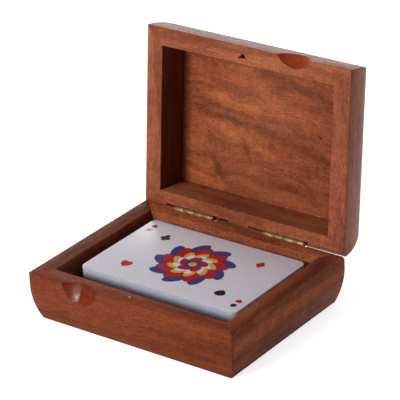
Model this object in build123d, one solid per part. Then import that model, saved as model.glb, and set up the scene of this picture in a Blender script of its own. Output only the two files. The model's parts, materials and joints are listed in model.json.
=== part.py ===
from build123d import *
import math
import os

# A hinged wooden box for one pack of playing cards, drawn with the lid standing open on its stop.
# Millimetres. Origin: centre of the base's underside. +X right, +Y back, +Z up.

# Case
card_room_length = 9.1
card_room_width = 16.0
base_height = 25.0
lid_height = 21.5
wall_thickness = 9.0
rim_gap = 0.1
side_radius = 48.0
base_straight = 6.5
lid_straight = 0.5
base_edge_radius = 1.2
lid_edge_radius = 4.0
rear_bevel = 2.4

# Boards that close the two frames
bottom_board_thickness = 2.0
tray_floor_height = 7.0
lid_recess_depth = 18.25
panel_tongue_depth = 2.0
panel_tongue_thickness = 1.5
panel_tongue_drop = 0.6

# Finger scoops in the front walls
base_scoop_x = -28.1
base_scoop_width = 19.5
base_scoop_bite = 4.0
base_scoop_drop = 9.2
lid_scoop_x = 26.7
lid_scoop_width = 19.0
lid_scoop_bite = 5.3
lid_scoop_drop = 7.0

# Hinges
open_angle = 96.0
hinge_axis_inset = 1.6
hinge_length = 23.0
knuckle_count = 4
knuckle_gap = 0.12
barrel_radius = 1.4
barrel_play = 0.2
pin_radius = 0.6
pin_play = 0.05
leaf_thickness = 1.0
leaf_depth = 8.0
kerf_play = 0.1
kerf_end_play = 0.5
mortise_run_out = 2.0
left_hinge_x = -28.0
left_kerf_overruns = (5.4, 8.8)
right_hinge_x = 25.0
right_kerf_overruns = (9.8, 2.0)

# Catch pin in the middle of the front rim
catch_pin_x = -2.0
catch_pin_inset = 4.9
catch_pin_radius = 0.7
catch_pin_length = 6.8
catch_pin_stand = 0.8
catch_hole_play = 0.3
catch_hole_depth = 2.2

# Cards
card_length = 88.9
card_width = 58.0
card_corner_radius = 3.0
card_thickness = 0.3
pack_height = 16.5
pack_x = 1.3
pack_y = 2.7

# Worked out from the sizes above
inner_length = card_length + card_room_length
inner_width = card_width + card_room_width
half_length = inner_length / 2 + wall_thickness
half_width = inner_width / 2 + wall_thickness
axis_y = half_width - hinge_axis_inset
axis_drop = rim_gap / 2
hinge_axis = Axis((0, axis_y, base_height + axis_drop), (1, 0, 0))
pocket_radius = barrel_radius + barrel_play
tongue_middle = lid_recess_depth + panel_tongue_drop + panel_tongue_thickness / 2
spare = 1.0


# Each half of the case is drawn in a frame of its own: the rim lies on Z = 0, with the closed side above it.
def span_box(x_span, y_span, z_span):
    spans = (x_span, y_span, z_span)
    sizes = [high - low for low, high in spans]
    middle = [(high + low) / 2 for low, high in spans]
    return Pos(*middle) * Box(*sizes)


def arc_about(centre, radius, start_angle, end_angle):
    points = []
    for angle in (start_angle, (start_angle + end_angle) / 2, end_angle):
        points.append((centre[0] + radius * math.cos(angle), centre[1] + radius * math.sin(angle)))
    return ThreePointArc(*points)


def side_section(inner_face, outer_face, depth, straight, edge_radius):
    """Section of a pillow side: flat inner face, a straight at the rim, a long curve and a rounded edge."""
    curve_centre = (outer_face - side_radius, straight)
    rise = depth - edge_radius - straight
    reach = math.sqrt((side_radius - edge_radius) ** 2 - rise**2)
    edge_centre = (curve_centre[0] + reach, depth - edge_radius)
    turn = math.atan2(rise, reach)
    outline = Line((inner_face, 0), (outer_face, 0))
    outline += Line((outer_face, 0), (outer_face, straight))
    outline += arc_about(curve_centre, side_radius, 0, turn)
    outline += arc_about(edge_centre, edge_radius, turn, math.pi / 2)
    outline += Polyline((edge_centre[0], depth), (inner_face, depth), (inner_face, 0))
    return make_face(outline)


def base_section(outer_face):
    inner_face = outer_face - wall_thickness
    return side_section(inner_face, outer_face, base_height, base_straight, base_edge_radius)


def board_strip(outer_face):
    return Pos(outer_face, base_height) * Rectangle(3 * wall_thickness, 2 * bottom_board_thickness)


def base_wall_section(outer_face):
    return base_section(outer_face) - board_strip(outer_face)


def board_edge_section(outer_face):
    return base_section(outer_face) & board_strip(outer_face)


def lid_wall_section(outer_face):
    inner_face = outer_face - wall_thickness
    groove = Pos(inner_face, tongue_middle) * Rectangle(2 * panel_tongue_depth, panel_tongue_thickness)
    return side_section(inner_face, outer_face, lid_height, lid_straight, lid_edge_radius) - groove


def mitre_wedge(corners):
    """Room that one wall may fill: its plan outline, cut at 45 degrees through the corners of the case."""
    height = base_height + lid_height
    return extrude(make_face(Polyline(*corners, close=True)), height, both=True)


def mitred_sides(section):
    """The back side and the right side of a mitred ring, as deep as the walls."""
    outer_x, outer_y = half_length + spare, half_width + spare
    inner_x, inner_y = inner_length / 2 - spare, inner_width / 2 - spare
    back = extrude(Plane.YZ * section(half_width), half_length, both=True)
    back &= mitre_wedge([(outer_x, outer_y), (-outer_x, outer_y), (-inner_x, inner_y), (inner_x, inner_y)])
    right = extrude(Plane.XZ * section(half_length), half_width, both=True)
    right &= mitre_wedge([(outer_x, -outer_y), (outer_x, outer_y), (inner_x, inner_y), (inner_x, -inner_y)])
    return back, right


def frame_walls(prefix, wall_section):
    """The four mitred walls of one half, with bevelled rear edges and the hinge pockets in the back wall."""
    back, right = mitred_sides(wall_section)
    front = mirror(back, about=Plane.XZ)
    edge = (half_width, 0)
    bevel_section = Polyline(edge, (half_width - rear_bevel, 0), (half_width, rear_bevel), close=True)
    bevel = extrude(Plane.YZ * make_face(bevel_section), half_length + spare, both=True)
    right -= bevel
    back -= bevel
    back -= hinge_pocket(left_hinge_x, left_kerf_overruns)
    back -= hinge_pocket(right_hinge_x, right_kerf_overruns)
    walls = {"front": front, "back": back, "left": mirror(right, about=Plane.YZ), "right": right}
    return {f"{prefix}_{side}_wall": wall for side, wall in walls.items()}


def scoop(x, width, bite, drop):
    """A ball that leaves a finger scoop of this width and bite at the rim, and this drop on the face."""
    below_rim = ((width / 2) ** 2 - drop**2) / (2 * drop)
    stand_off = ((width / 2) ** 2 - bite**2) / (2 * bite)
    radius = math.sqrt((width / 2) ** 2 + below_rim**2 + stand_off**2)
    return Pos(x, -half_width - stand_off, -below_rim) * Sphere(radius)


def hinge_pocket(hinge_x, kerf_overruns):
    """Open mortise for the barrel, and the saw kerf that holds a leaf."""
    start = hinge_x - hinge_length / 2
    end = hinge_x + hinge_length / 2
    mortise = span_box(
        (start - barrel_play, end + mortise_run_out),
        (axis_y - pocket_radius, half_width + spare),
        (-spare, pocket_radius - axis_drop),
    )
    kerf = span_box(
        (start - kerf_overruns[0], end + kerf_overruns[1]),
        (axis_y - barrel_radius, axis_y - barrel_radius + leaf_thickness + kerf_play),
        (-spare, leaf_depth - axis_drop + kerf_end_play),
    )
    return mortise + kerf


def along_hinge(x, radius, length):
    return Pos(x, axis_y, -axis_drop) * Rot(0, 90, 0) * Cylinder(radius, length)


def hinge_leaf(hinge_x, first_knuckle, bore_radius):
    """A leaf with every other knuckle of the barrel, from first_knuckle on."""
    start = hinge_x - hinge_length / 2
    leaf_y = (axis_y - barrel_radius, axis_y - barrel_radius + leaf_thickness)
    leaf_z = (pocket_radius - axis_drop, leaf_depth - axis_drop)
    leaf = span_box((start, start + hinge_length), leaf_y, leaf_z)
    pitch = hinge_length / knuckle_count
    knuckle_length = pitch - knuckle_gap
    for knuckle in range(first_knuckle, knuckle_count, 2):
        middle = start + (knuckle + 0.5) * pitch
        neck_x = (middle - knuckle_length / 2, middle + knuckle_length / 2)
        leaf += span_box(neck_x, leaf_y, (-axis_drop, pocket_radius))
        leaf += along_hinge(middle, barrel_radius, knuckle_length)
    return leaf - along_hinge(hinge_x, bore_radius, hinge_length + spare)


def catch_pin():
    pin = Cylinder(catch_pin_radius, catch_pin_length)
    return Pos(catch_pin_x, catch_pin_inset - half_width, catch_pin_length / 2 - catch_pin_stand) * pin


def bottom_board():
    """Board under the frame, with a raised middle that fills the frame up to the tray floor."""
    back, right = mitred_sides(board_edge_section)
    floor_block = Box(inner_length, inner_width, tray_floor_height)
    middle = Pos(0, 0, base_height - tray_floor_height / 2) * floor_block
    return middle + back + right + mirror(back, about=Plane.XZ) + mirror(right, about=Plane.YZ)


def top_panel():
    """Panel inside the lid's frame, with a tongue all round for the walls' grooves."""
    thickness = lid_height - lid_recess_depth
    panel = Pos(0, 0, lid_recess_depth + thickness / 2) * Box(inner_length, inner_width, thickness)
    tongue_length = inner_length + 2 * panel_tongue_depth
    tongue_width = inner_width + 2 * panel_tongue_depth
    return panel + Pos(0, 0, tongue_middle) * Box(tongue_length, tongue_width, panel_tongue_thickness)


def base_half():
    nodes = frame_walls("base", base_wall_section)
    nodes["base_front_wall"] -= scoop(base_scoop_x, base_scoop_width, base_scoop_bite, base_scoop_drop)
    nodes["base_front_wall"] -= catch_pin()
    nodes["base_bottom_board"] = bottom_board()
    nodes["catch_pin"] = catch_pin()
    for side, hinge_x in (("left", left_hinge_x), ("right", right_hinge_x)):
        nodes[f"{side}_hinge_base_leaf"] = hinge_leaf(hinge_x, 0, pin_radius)
        nodes[f"{side}_hinge_pin"] = along_hinge(hinge_x, pin_radius, hinge_length)
    return nodes


def lid_half():
    nodes = frame_walls("lid", lid_wall_section)
    nodes["lid_front_wall"] -= scoop(lid_scoop_x, lid_scoop_width, lid_scoop_bite, lid_scoop_drop)
    catch_hole = Cylinder(catch_pin_radius + catch_hole_play, 2 * catch_hole_depth)
    nodes["lid_front_wall"] -= Pos(catch_pin_x, catch_pin_inset - half_width, 0) * catch_hole
    nodes["lid_top_panel"] = top_panel()
    for side, hinge_x in (("left", left_hinge_x), ("right", right_hinge_x)):
        nodes[f"{side}_hinge_lid_leaf"] = hinge_leaf(hinge_x, 1, pin_radius + pin_play)
    return nodes


def card_block(bottom_z, thickness):
    """Cards lying flat: a rounded rectangle of this thickness."""
    outline = RectangleRounded(card_length, card_width, card_corner_radius)
    return Pos(pack_x, pack_y, bottom_z) * extrude(outline, thickness)


def all_nodes():
    nodes = {}
    for name, shape in base_half().items():
        nodes[name] = Pos(0, 0, base_height) * mirror(shape, about=Plane.XY)
    for name, shape in lid_half().items():
        closed = Pos(0, 0, base_height + rim_gap) * shape
        nodes[name] = closed.rotate(hinge_axis, -open_angle)
    stack_height = pack_height - card_thickness
    nodes["card_stack"] = card_block(tray_floor_height, stack_height)
    nodes["top_card"] = card_block(tray_floor_height + stack_height, card_thickness)
    return nodes


os.makedirs("parts", exist_ok=True)
for node_name, node_shape in all_nodes().items():
    export_step(node_shape, f"parts/{node_name}.step")
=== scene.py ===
import json
import math

import bmesh
import bpy
from mathutils import Matrix, Vector


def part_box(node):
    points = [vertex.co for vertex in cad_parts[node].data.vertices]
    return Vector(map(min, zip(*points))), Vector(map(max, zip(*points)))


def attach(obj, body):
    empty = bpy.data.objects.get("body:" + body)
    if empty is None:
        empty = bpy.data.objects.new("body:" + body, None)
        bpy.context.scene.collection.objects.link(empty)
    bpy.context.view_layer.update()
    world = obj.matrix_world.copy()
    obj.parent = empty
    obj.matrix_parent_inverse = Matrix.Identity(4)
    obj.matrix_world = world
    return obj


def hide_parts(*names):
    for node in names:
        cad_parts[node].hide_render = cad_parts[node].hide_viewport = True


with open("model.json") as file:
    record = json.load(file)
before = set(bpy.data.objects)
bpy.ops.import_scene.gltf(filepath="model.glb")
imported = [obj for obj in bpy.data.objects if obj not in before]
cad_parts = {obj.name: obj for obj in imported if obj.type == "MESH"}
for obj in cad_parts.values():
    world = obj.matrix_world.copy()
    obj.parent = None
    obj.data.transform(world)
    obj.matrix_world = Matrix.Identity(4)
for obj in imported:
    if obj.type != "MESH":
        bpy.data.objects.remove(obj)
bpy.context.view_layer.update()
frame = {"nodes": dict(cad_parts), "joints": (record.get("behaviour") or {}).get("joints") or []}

# A hinged wooden box with a pack of playing cards. Metres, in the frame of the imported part.
# The lid is modelled shut, over the base, and each of its pieces is then swung open about the hinge.
mm = 0.001
hair = 0.002 * mm

# ---------------------------------------------------------------- sizes read from the frame
hinge = next(joint for joint in frame["joints"] if joint["name"] == "lid_hinge")
axis_point = Vector(hinge["pos_m"])
open_angle = math.radians(hinge["range_deg"][1])
shut = Matrix.Translation(axis_point) @ Matrix.Rotation(open_angle, 4, "X") @ Matrix.Translation(-axis_point)


def shut_box(node):
    """Lowest and highest corner of a lid node with the lid shut."""
    corners = [shut @ vertex.co for vertex in frame["nodes"][node].data.vertices]
    low = Vector([min(corner[axis] for corner in corners) for axis in range(3)])
    high = Vector([max(corner[axis] for corner in corners) for axis in range(3)])
    return low, high


base_wall_low, base_wall_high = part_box("base_right_wall")
lid_wall_low, lid_wall_high = shut_box("lid_right_wall")
half_length = base_wall_high.x
half_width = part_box("base_back_wall")[1].y
wall_thickness = base_wall_high.x - base_wall_low.x
inner_half_length = half_length - wall_thickness
inner_half_width = half_width - wall_thickness
board_top = base_wall_low.z
base_rim = base_wall_high.z
tray_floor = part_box("base_bottom_board")[1].z
lid_rim = lid_wall_low.z
lid_top = lid_wall_high.z
base_height = base_rim
lid_height = lid_top - lid_rim
case_sides = ("front", "back", "left", "right")

# ---------------------------------------------------------------- sizes that repeat the part's
side_radius = 48 * mm
base_straight = 6.5 * mm
lid_straight = 0.5 * mm
base_edge_radius = 1.2 * mm
lid_edge_radius = 4 * mm
lid_recess_depth = 18.25 * mm
panel_under = lid_rim + lid_recess_depth
barrel_radius = 1.4 * mm
barrel_play = 0.2 * mm
pin_radius = 0.6 * mm
leaf_thickness = 1 * mm
leaf_depth = 8 * mm
kerf_play = 0.1 * mm
kerf_end_play = 0.5 * mm
mortise_run_out = 2 * mm
knuckle_count = 4
knuckle_gap = 0.12 * mm
kerf_overruns = {"left": (5.4 * mm, 8.8 * mm), "right": (9.8 * mm, 2 * mm)}
catch_hole_radius = 1 * mm
catch_hole_depth = 2.2 * mm
scoops = {
    "base": {"x": -28.1 * mm, "width": 19.5 * mm, "bite": 4 * mm, "drop": 9.2 * mm},
    "lid": {"x": 26.7 * mm, "width": 19 * mm, "bite": 5.3 * mm, "drop": 7 * mm},
}

# ---------------------------------------------------------------- sizes that are this script's own
# The part's rear bevel is straight and 2.4 mm. This one leans, as the real lid does on its hinges.
rear_bevel = 2 * mm
rear_bevel_skew = 0.5 * mm
# Splinters torn out at the lid's catch hole: length, direction in degrees and half width
splinters = [(3.6 * mm, 152, 0.95 * mm), (2.9 * mm, 33, 0.8 * mm), (1.7 * mm, 110, 0.9 * mm)]
splinter_tip = 0.02 * mm
pin_hole_play = 0.05 * mm
pin_hole_depth = 7 * mm
# The roll of a knuckle: its play on the pin, where it starts under the axis, and how far round it goes
roll_play = 0.03 * mm
roll_thickness = barrel_radius - pin_radius - roll_play
roll_start = 0.02 * mm
roll_turn = math.radians(318)

# ---------------------------------------------------------------- finish of the edges
rim_round = 0.3 * mm
corner_round = 0.4 * mm
panel_edge_round = 0.12 * mm
card_edge_round = 0.08 * mm
brass_edge_round = 0.07 * mm
pin_end_round = 0.15 * mm
ring_segments = 2
curve_steps = 14
edge_steps = 6


# ---------------------------------------------------------------- modelling helpers
def deselect():
    bpy.ops.object.select_all(action="DESELECT")


def activate(piece):
    deselect()
    piece.select_set(True)
    bpy.context.view_layer.objects.active = piece


def apply_place(piece):
    activate(piece)
    bpy.ops.object.transform_apply(location=True, rotation=True, scale=True)
    return piece


def new_piece(name):
    """Names the primitive that was just added, and applies its place and size."""
    piece = bpy.context.active_object
    piece.name = name
    return apply_place(piece)


def add_box(name, corner, opposite):
    """A box between two opposite corners, in any order."""
    deselect()
    corner, opposite = Vector(corner), Vector(opposite)
    size = [abs(reach) for reach in opposite - corner]
    bpy.ops.mesh.primitive_cube_add(size=1, location=(corner + opposite) / 2, scale=size)
    return new_piece(name)


def add_rod(name, centre, radius, length, axis="Z", sides=48):
    turns = {"X": (0, math.pi / 2, 0), "Z": (0, 0, 0)}
    deselect()
    bpy.ops.mesh.primitive_cylinder_add(
        vertices=sides, radius=radius, depth=length, location=centre, rotation=turns[axis]
    )
    return new_piece(name)


def copy_of(piece, name):
    """A copy of a piece, with a mesh of its own."""
    twin = piece.copy()
    twin.data = piece.data.copy()
    twin.name = name
    bpy.context.collection.objects.link(twin)
    return twin


def remove(piece):
    bpy.data.objects.remove(piece, do_unlink=True)


def start_edit(piece, kind):
    """Edit mode on one piece, with nothing selected."""
    activate(piece)
    bpy.ops.object.mode_set(mode="EDIT")
    bpy.ops.mesh.select_mode(type=kind)
    bpy.ops.mesh.select_all(action="DESELECT")


def end_edit():
    bpy.ops.object.mode_set(mode="OBJECT")


def edit_whole(piece, operator, **settings):
    """Runs one edit-mode operator on all of a piece."""
    start_edit(piece, "VERT")
    bpy.ops.mesh.select_all(action="SELECT")
    operator(**settings)
    end_edit()


def pick(piece, kind, test):
    """Selects the vertices, edges or faces of the edited piece that pass the test, and counts them."""
    mesh = bmesh.from_edit_mesh(piece.data)
    parts = {"VERT": mesh.verts, "EDGE": mesh.edges, "FACE": mesh.faces}[kind]
    chosen = [part for part in parts if test(part)]
    for part in chosen:
        part.select_set(True)
    bmesh.update_edit_mesh(piece.data)
    return len(chosen)


def level_face(z, up):
    return lambda face: abs(face.calc_center_median().z - z) < hair and face.normal.z * up > 0.9


def is_sharp(edge):
    return edge.calc_face_angle(0) > math.radians(25)


def edge_at_level(z):
    return lambda edge: all(abs(vertex.co.z - z) < hair for vertex in edge.verts) and is_sharp(edge)


def bevel_edges(piece, test, width, segments=3):
    start_edit(piece, "EDGE")
    pick(piece, "EDGE", test)
    bpy.ops.mesh.bevel(offset=width, segments=segments, affect="EDGES", clamp_overlap=False)
    end_edit()


def slice_off(piece, point, normal):
    """Cuts the piece on a plane and closes it; what lies on the normal's side goes."""
    edit_whole(piece, bpy.ops.mesh.bisect, plane_co=point, plane_no=normal, use_fill=True, clear_outer=True)


def cut_with(piece, cutter, operation):
    """Cuts the piece with a cutter, which is used up."""
    activate(piece)
    cut = piece.modifiers.new("cut", "BOOLEAN")
    cut.operation = operation
    cut.solver = "EXACT"
    cut.object = cutter
    bpy.ops.object.modifier_apply(modifier=cut.name)
    remove(cutter)


def cut_out(piece, cutter):
    cut_with(piece, cutter, "DIFFERENCE")


def face_outwards(piece):
    edit_whole(piece, bpy.ops.mesh.normals_make_consistent, inside=False)


def join(pieces, name):
    """Makes one piece of several, which are used up."""
    deselect()
    for piece in pieces:
        piece.select_set(True)
    bpy.context.view_layer.objects.active = pieces[0]
    bpy.ops.object.join()
    pieces[0].name = name
    return pieces[0]


def smooth(piece, degrees=30):
    activate(piece)
    bpy.ops.object.shade_smooth_by_angle(angle=math.radians(degrees))


def swing_open(piece):
    """Turns a piece that was modelled shut to where it stands with the lid open."""
    activate(piece)
    piece.matrix_world = shut.inverted()
    apply_place(piece)


def finish_piece(piece, material, node, body):
    """Gives a piece its material, and puts it in the place of its CAD node."""
    if body == "lid":
        swing_open(piece)
    piece.data.materials.clear()
    piece.data.materials.append(material)
    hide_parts(node)
    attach(piece, body)


# ---------------------------------------------------------------- case: pillow blocks and mitred walls
def side_inset(depth_here, depth, straight, edge_radius):
    """How far the pillow side lies inside the rim's outline, at this distance from the rim."""
    rise = depth - edge_radius - straight
    reach = math.sqrt((side_radius - edge_radius) ** 2 - rise**2)
    turn = math.atan2(rise, reach)
    if depth_here <= straight:
        return 0
    if depth_here <= straight + side_radius * math.sin(turn):
        return side_radius - math.sqrt(side_radius**2 - (depth_here - straight) ** 2)
    below_edge = depth_here - depth + edge_radius
    return side_radius - reach - math.sqrt(max(edge_radius**2 - below_edge**2, 0))


def side_rows(depth, straight, edge_radius):
    """Distances from the rim at which the pillow side needs a row of points."""
    rise = depth - edge_radius - straight
    turn = math.atan2(rise, math.sqrt((side_radius - edge_radius) ** 2 - rise**2))
    curve = [straight + side_radius * math.sin(turn * step / curve_steps) for step in range(curve_steps + 1)]
    edge_turns = [turn + (math.pi / 2 - turn) * step / edge_steps for step in range(1, edge_steps + 1)]
    return curve + [depth - edge_radius + edge_radius * math.sin(angle) for angle in edge_turns]


def pillow_block(name, rim, direction, depth, straight, edge_radius, start, end):
    """A block over the whole case, from start to end (distances from the rim), with pillow sides."""
    block = add_box(
        name,
        (-half_length, -half_width, rim + direction * start),
        (half_length, half_width, rim + direction * end),
    )
    spare = 0.1 * mm
    all_rows = side_rows(depth, straight, edge_radius)
    inner_rows = [row for row in all_rows if start + spare < row < end - spare]
    for row in inner_rows:
        level = (0, 0, rim + direction * row)
        edit_whole(block, bpy.ops.mesh.bisect, plane_co=level, plane_no=(0, 0, 1))
    for row in [start] + inner_rows + [end]:
        level = rim + direction * row
        inset = side_inset(row, depth, straight, edge_radius)
        scale = (1 - inset / half_length, 1 - inset / half_width, 1)
        start_edit(block, "VERT")
        pick(block, "VERT", lambda vertex: abs(vertex.co.z - level) < hair)
        bpy.ops.transform.resize(value=scale, center_override=(0, 0, level))
        end_edit()
    return block


def is_corner_edge(edge):
    """A ridge where two pillow sides meet, which runs along the outside of a mitre."""
    first, second = edge.verts
    insets = [(abs(vertex.co.x) - half_length, abs(vertex.co.y) - half_width) for vertex in edge.verts]
    on_mitre = all(abs(inset_x - inset_y) < hair for inset_x, inset_y in insets)
    outside = min(abs(first.co.x), abs(second.co.x)) > inner_half_length + hair
    return on_mitre and outside and abs(first.co.z - second.co.z) > hair


def frame_ring(name, rim, direction, depth, straight, edge_radius, end):
    """The four walls of one half in one piece, with the rear bevel cut and the rim and ridges softened."""
    ring = pillow_block(name, rim, direction, depth, straight, edge_radius, 0, end)
    spare = 1 * mm
    room = add_box(
        "room",
        (-inner_half_length, -inner_half_width, rim - direction * spare),
        (inner_half_length, inner_half_width, rim + direction * end + direction * spare),
    )
    cut_out(ring, room)
    skew = rear_bevel_skew / half_length
    slice_off(ring, (0, half_width - rear_bevel, rim), (skew, 1, -direction))
    on_rim = edge_at_level(rim)

    def is_softened(edge):
        return on_rim(edge) or (is_sharp(edge) and is_corner_edge(edge))

    bevel_edges(ring, is_softened, rim_round, ring_segments)
    smooth(ring)
    return ring


def mitre_wedge(side):
    """The room that one wall may fill, cut at 45 degrees through the corners of the case."""
    spare = 5 * mm
    apex = half_length - half_width
    out = {"front": -1, "back": 1, "left": -1, "right": 1}[side]
    far_x, far_y = half_length + spare, half_width + spare
    if side in ("left", "right"):
        near = out * (inner_half_length - spare)
        wedge = add_box("wedge", (near, -far_y, -far_y), (out * far_x, far_y, far_y))
        cuts = [(out * apex, (-out, end, 0)) for end in (-1, 1)]
    else:
        near = out * (inner_half_width - spare)
        wedge = add_box("wedge", (-far_x, near, -far_y), (far_x, out * far_y, far_y))
        cuts = [(end * apex, (end, -out, 0)) for end in (-1, 1)]
    for x, normal in cuts:
        slice_off(wedge, (x, 0, 0), normal)
    return wedge


def mitred_wall(ring, side, name):
    """One wall of a ring, cut free on the two mitre planes."""
    wall = copy_of(ring, name)
    cut_with(wall, mitre_wedge(side), "INTERSECT")
    return wall


# ---------------------------------------------------------------- case: cuts in the walls
def scoop_ball_place(half):
    """Middle and radius of the ball that hollows a finger scoop out of a front wall."""
    rim, direction = {"base": (base_rim, -1), "lid": (lid_rim, 1)}[half]
    size = scoops[half]
    half_span = size["width"] / 2
    below_rim = (half_span**2 - size["drop"] ** 2) / (2 * size["drop"])
    stand_off = (half_span**2 - size["bite"] ** 2) / (2 * size["bite"])
    radius = math.sqrt(half_span**2 + below_rim**2 + stand_off**2)
    return Vector((size["x"], -half_width - stand_off, rim - direction * below_rim)), radius


def scoop_ball(half):
    centre, radius = scoop_ball_place(half)
    deselect()
    bpy.ops.mesh.primitive_uv_sphere_add(segments=160, ring_count=80, radius=radius, location=centre)
    return new_piece("scoop_ball")


def hinge_span(side):
    low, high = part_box(f"{side}_hinge_pin")
    return low.x, high.x


def hinge_cutters(side, rim, direction):
    """Mortise for the barrel, and saw kerf for the leaf, in the rim of a back wall."""
    start, end = hinge_span(side)
    before, after = kerf_overruns[side]
    pocket = barrel_radius + barrel_play
    front_of_leaf = axis_point.y - barrel_radius
    back_of_kerf = front_of_leaf + leaf_thickness + kerf_play
    kerf_end = axis_point.z + direction * (leaf_depth + kerf_end_play)
    spare = 1 * mm
    mouth = rim - direction * spare
    mortise = add_box(
        "mortise",
        (start - barrel_play, axis_point.y - pocket, mouth),
        (end + mortise_run_out, half_width + spare, axis_point.z + direction * pocket),
    )
    kerf = add_box("kerf", (start - before, front_of_leaf, mouth), (end + after, back_of_kerf, kerf_end))
    return mortise, kerf


def cut_hinge_pockets(wall, rim, direction):
    for side in ("left", "right"):
        for cutter in hinge_cutters(side, rim, direction):
            cut_out(wall, cutter)


catch_pin_low, catch_pin_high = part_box("catch_pin")
catch_pin_place = (catch_pin_low + catch_pin_high) / 2


def cut_catch_hole(wall, rim, radius, depth):
    middle = (catch_pin_place.x, catch_pin_place.y, rim)
    cut_out(wall, add_rod("hole", middle, radius, 2 * depth, sides=32))


def split_hole_edge(wall, rim):
    """Splinters torn out round the catch hole, each cut by a flat cone."""
    for reach, turn, width in splinters:
        deselect()
        angle = math.radians(turn)
        middle = (
            catch_pin_place.x + math.cos(angle) * reach / 2,
            catch_pin_place.y + math.sin(angle) * reach / 2,
            rim,
        )
        bpy.ops.mesh.primitive_cone_add(
            vertices=6, radius1=width, radius2=splinter_tip, depth=reach, location=middle,
            rotation=(0, math.pi / 2, angle), scale=(1.8, 1, 1),
        )
        cut_out(wall, apply_place(bpy.context.active_object))


# ---------------------------------------------------------------- case: boards
def bottom_board():
    """Board under the walls, with a raised middle that makes the tray floor."""
    start, end = base_height - board_top, base_height
    board = pillow_block("base_board", base_rim, -1, base_height, base_straight, base_edge_radius, start, end)
    edge_inset = side_inset(base_height - board_top, base_height, base_straight, base_edge_radius)
    start_edit(board, "FACE")
    pick(board, "FACE", level_face(board_top, 1))
    bpy.ops.mesh.inset(thickness=wall_thickness - edge_inset, depth=0)
    bpy.ops.mesh.extrude_region_move(TRANSFORM_OT_translate={"value": (0, 0, tray_floor - board_top)})
    end_edit()
    bevel_edges(board, is_corner_edge, corner_round, segments=3)
    smooth(board)
    return board


def lid_panel():
    """Flat panel between the lid's walls."""
    panel = add_box(
        "lid_panel",
        (-inner_half_length, -inner_half_width, panel_under),
        (inner_half_length, inner_half_width, lid_top),
    )
    bevel_edges(panel, lambda edge: True, panel_edge_round, segments=2)
    smooth(panel)
    return panel


# ---------------------------------------------------------------- hinges
def knuckle(name, start, length):
    """A knuckle rolled from the leaf round the pin, with its roll left open at the end."""
    leaf_front = axis_point.y - barrel_radius
    plate = add_box(
        name,
        (start, leaf_front, axis_point.z - roll_start),
        (start + length, leaf_front + roll_thickness, axis_point.z),
    )
    start_edit(plate, "FACE")
    pick(plate, "FACE", level_face(axis_point.z, 1))
    bpy.ops.mesh.spin(
        steps=30, angle=roll_turn, center=axis_point, axis=(1, 0, 0), dupli=False, use_auto_merge=False
    )
    end_edit()
    edit_whole(plate, bpy.ops.mesh.remove_doubles, threshold=0.001 * mm)
    face_outwards(plate)
    return plate


def hinge_leaf(side, name, first_knuckle, direction):
    """A leaf in its kerf with every other knuckle of the barrel."""
    start, end = hinge_span(side)
    pitch = (end - start) / knuckle_count
    pocket = barrel_radius + barrel_play
    leaf_front = axis_point.y - barrel_radius
    top = axis_point.z + direction * pocket
    foot = axis_point.z + direction * leaf_depth
    parts = [add_box(name, (start, leaf_front, top), (end, leaf_front + leaf_thickness, foot))]
    length = pitch - knuckle_gap
    for index in range(first_knuckle, knuckle_count, 2):
        knuckle_start = start + index * pitch + knuckle_gap / 2
        neck_far = (knuckle_start + length, leaf_front + roll_thickness, top)
        parts.append(add_box("neck", (knuckle_start, leaf_front, axis_point.z), neck_far))
        parts.append(knuckle("knuckle", knuckle_start, length))
        if direction > 0:
            flip_about_axis(parts[-1])
    for part in parts:
        bevel_all(part)
    leaf = join(parts, name)
    smooth(leaf, 35)
    return leaf


def flip_about_axis(part):
    """Mirrors a rolled knuckle about the height of the hinge axis."""
    upright = (False, False, True)
    edit_whole(part, bpy.ops.transform.mirror, constraint_axis=upright, center_override=axis_point)
    face_outwards(part)


def bevel_all(part, width=brass_edge_round):
    """Softens every sharp edge of a small metal part."""
    activate(part)
    soften = part.modifiers.new("soften", "BEVEL")
    soften.width = width
    soften.segments = 2
    soften.limit_method = "ANGLE"
    soften.angle_limit = math.radians(50)
    bpy.ops.object.modifier_apply(modifier=soften.name)


def hinge_pin(side):
    start, end = hinge_span(side)
    middle = ((start + end) / 2, axis_point.y, axis_point.z)
    pin = add_rod(f"{side}_pin", middle, pin_radius, end - start, axis="X", sides=32)
    bevel_all(pin, pin_end_round)
    smooth(pin)
    return pin


def catch_pin():
    radius = (catch_pin_high.x - catch_pin_low.x) / 2
    length = catch_pin_high.z - catch_pin_low.z
    pin = add_rod("catch_pin_brad", catch_pin_place, radius, length, sides=32)
    bevel_edges(pin, edge_at_level(catch_pin_high.z), radius * 0.7, segments=5)
    smooth(pin, 50)
    return pin


# ---------------------------------------------------------------- cards
card_corner_radius = 3 * mm
card_slack = 0.03 * mm
card_pitch = 0.3 * mm
card_drift = 0.16 * mm


def card(name, low, high, edge_round):
    """One card: a sheet with round corners and softened edges."""
    sheet = add_box(name, low, high)
    bevel_edges(
        sheet,
        lambda edge: abs(edge.verts[0].co.z - edge.verts[1].co.z) > hair,
        card_corner_radius,
        segments=7,
    )
    if edge_round:
        bevel_edges(sheet, edge_at_level(high.z), edge_round, segments=2)
    return sheet


def card_pile():
    """The cards under the top one, each a little off its neighbour."""
    low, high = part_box("card_stack")
    count = round((high.z - low.z) / card_pitch)
    pattern = card("card_pile", low, Vector((high.x, high.y, low.z + card_pitch - card_slack)), 0)
    sheets = [pattern]
    for index in range(1, count):
        sheet = copy_of(pattern, "sheet")
        drift = (
            card_drift * math.sin(index * 2.4 + 0.7) * 0.6,
            card_drift * (math.sin(index * 1.7) * 0.5 + math.sin(index * 0.31) * 0.5),
            index * card_pitch,
        )
        sheet.location = drift
        sheets.append(apply_place(sheet))
    pile = join(sheets, "card_pile")
    smooth(pile)
    return pile


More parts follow.
